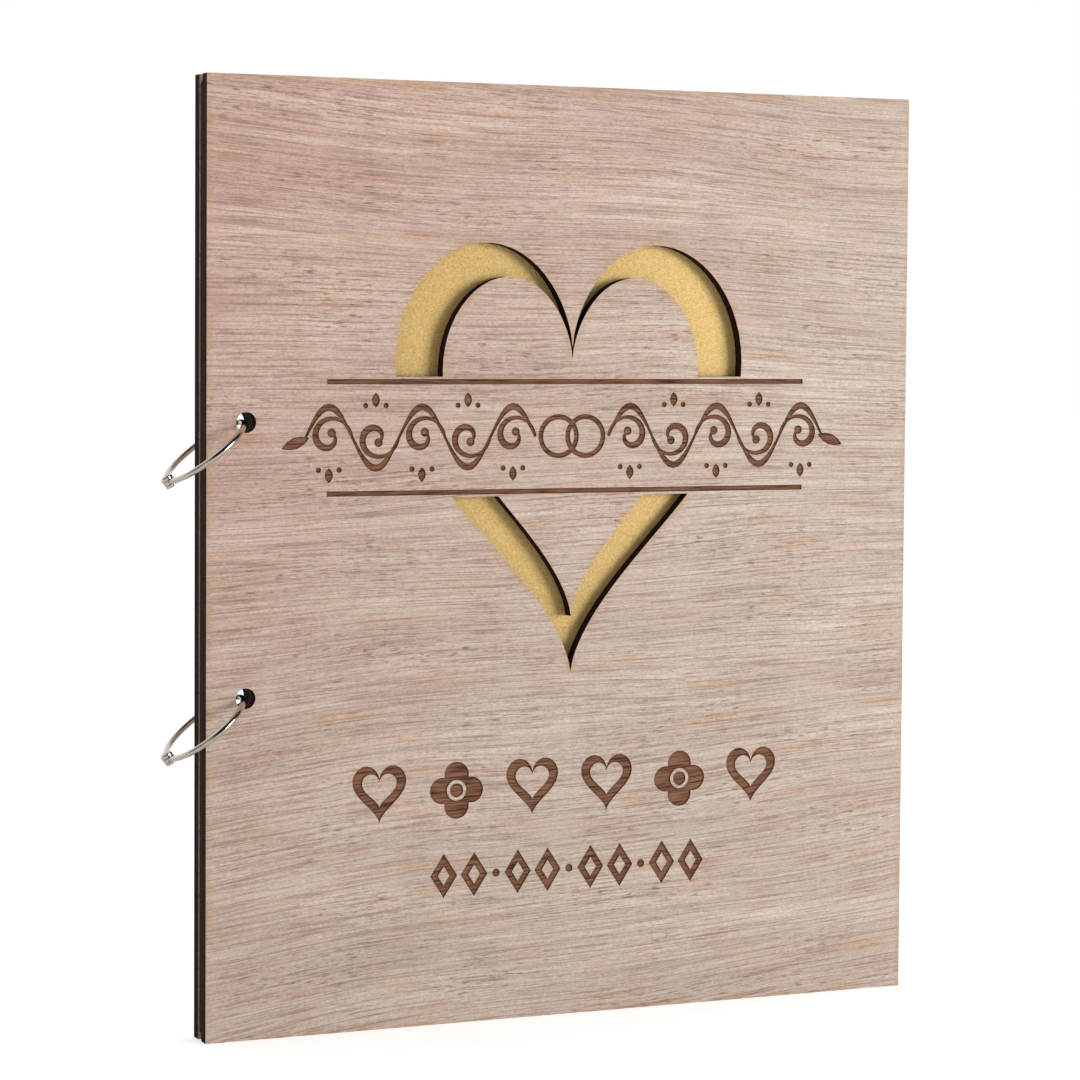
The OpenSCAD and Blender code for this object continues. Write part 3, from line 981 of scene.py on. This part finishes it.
def stage_floor(knobs):
    """A flat floor of matt white paper, lifted a little for the camera alone."""
    shape = bmesh.new()
    bmesh.ops.create_grid(shape, x_segments=2, y_segments=2, size=FLOOR_HALF)
    floor = made_object("floor", shape)
    material, tree, shader = blank_material("matt white paper floor")
    shader.inputs["Base Color"].default_value = (*knobs.floor, 1)
    shader.inputs["Roughness"].default_value = 0.9
    shader.inputs["Specular IOR Level"].default_value = 0.1
    seen = add(tree, "ShaderNodeLightPath").outputs["Is Camera Ray"]
    shader.inputs["Emission Color"].default_value = (1, 1, 1, 1)
    glow = add(tree, "ShaderNodeMath", {0: seen, 1: FLOOR_GLOW}, operation="MULTIPLY")
    tree.links.new(glow.outputs[0], shader.inputs["Emission Strength"])
    paint(floor, material)


def stage_world(knobs):
    """A white surround behind the book and a dimmer room on the camera's side.

    Black flags stand by the camera, so bright metal gets dark streaks."""
    world = bpy.data.worlds.new("studio")
    world.use_nodes = True
    tree = world.node_tree
    tree.nodes.clear()
    path = add(tree, "ShaderNodeLightPath")
    towards = add(
        tree, "ShaderNodeSeparateXYZ",
        {0: add(tree, "ShaderNodeTexCoord").outputs["Generated"]}).outputs[1]
    room = add(
        tree, "ShaderNodeMapRange", {0: towards, 1: -0.4, 2: 0.5, 3: knobs.world, 4: 1.0})
    flags = add(
        tree, "ShaderNodeMapRange", {0: towards, 1: -0.1, 2: 0.4, 3: FLAG_LIGHT, 4: 1.0})
    unseen = add(
        tree, "ShaderNodeMix", {0: path.outputs["Is Glossy Ray"], 2: room, 3: flags},
        data_type="FLOAT")
    strength = add(
        tree, "ShaderNodeMix", {0: path.outputs["Is Camera Ray"], 2: unseen, 3: 1.0},
        data_type="FLOAT")
    light = add(
        tree, "ShaderNodeBackground", {"Color": (1, 1, 1, 1), "Strength": strength})
    add(tree, "ShaderNodeOutputWorld", {0: light})
    bpy.context.scene.world = world


class GUESTBOOK_OT_stage(bpy.types.Operator):
    """Sets up the floor, the lights and the camera"""

    bl_idname = "guestbook.stage"
    bl_label = "Stage"

    def execute(self, context):
        knobs = context.scene.guestbook_stage
        stage_camera()
        stage_floor(knobs)
        stage_world(knobs)
        aimed_light("key", KEY_AT, KEY_SIZE, knobs.key_power)
        aimed_light("fill", FILL_AT, FILL_SIZE, knobs.fill_power)
        context.scene.view_settings.view_transform = "Standard"
        return {"FINISHED"}


class GUESTBOOK_PT_parts(bpy.types.Panel):
    """Lists the book's pieces"""

    bl_idname = "GUESTBOOK_PT_parts"
    bl_label = "Guest Book"
    bl_space_type = "VIEW_3D"
    bl_region_type = "UI"
    bl_category = "Guest Book"

    def draw(self, context):
        """One button for each operator"""
        for operator in OPERATORS:
            self.layout.operator(operator.bl_idname)


SETTINGS = {
    "guestbook_plywood": PlywoodSettings,
    "guestbook_card": CardSettings,
    "guestbook_leaves": LeafSettings,
    "guestbook_rings": RingSettings,
    "guestbook_stage": StageSettings,
}
OPERATORS = (
    GUESTBOOK_OT_stage,
    GUESTBOOK_OT_covers,
    GUESTBOOK_OT_gold_card,
    GUESTBOOK_OT_leaves,
    GUESTBOOK_OT_rings,
)
CLASSES = (*SETTINGS.values(), *OPERATORS, GUESTBOOK_PT_parts)


def register():
    """Adds the settings, the operators and the panel."""
    for made in CLASSES:
        bpy.utils.register_class(made)
    for name, group in SETTINGS.items():
        setattr(bpy.types.Scene, name, PointerProperty(type=group))


def unregister():
    """Takes them away again."""
    for name in SETTINGS:
        delattr(bpy.types.Scene, name)
    for made in reversed(CLASSES):
        bpy.utils.unregister_class(made)


def main():
    """Finishes the whole book."""
    register()
    bpy.ops.guestbook.stage()
    bpy.ops.guestbook.covers()
    bpy.ops.guestbook.gold_card()
    bpy.ops.guestbook.leaves()
    bpy.ops.guestbook.rings()


if __name__ == "__main__":
    main()
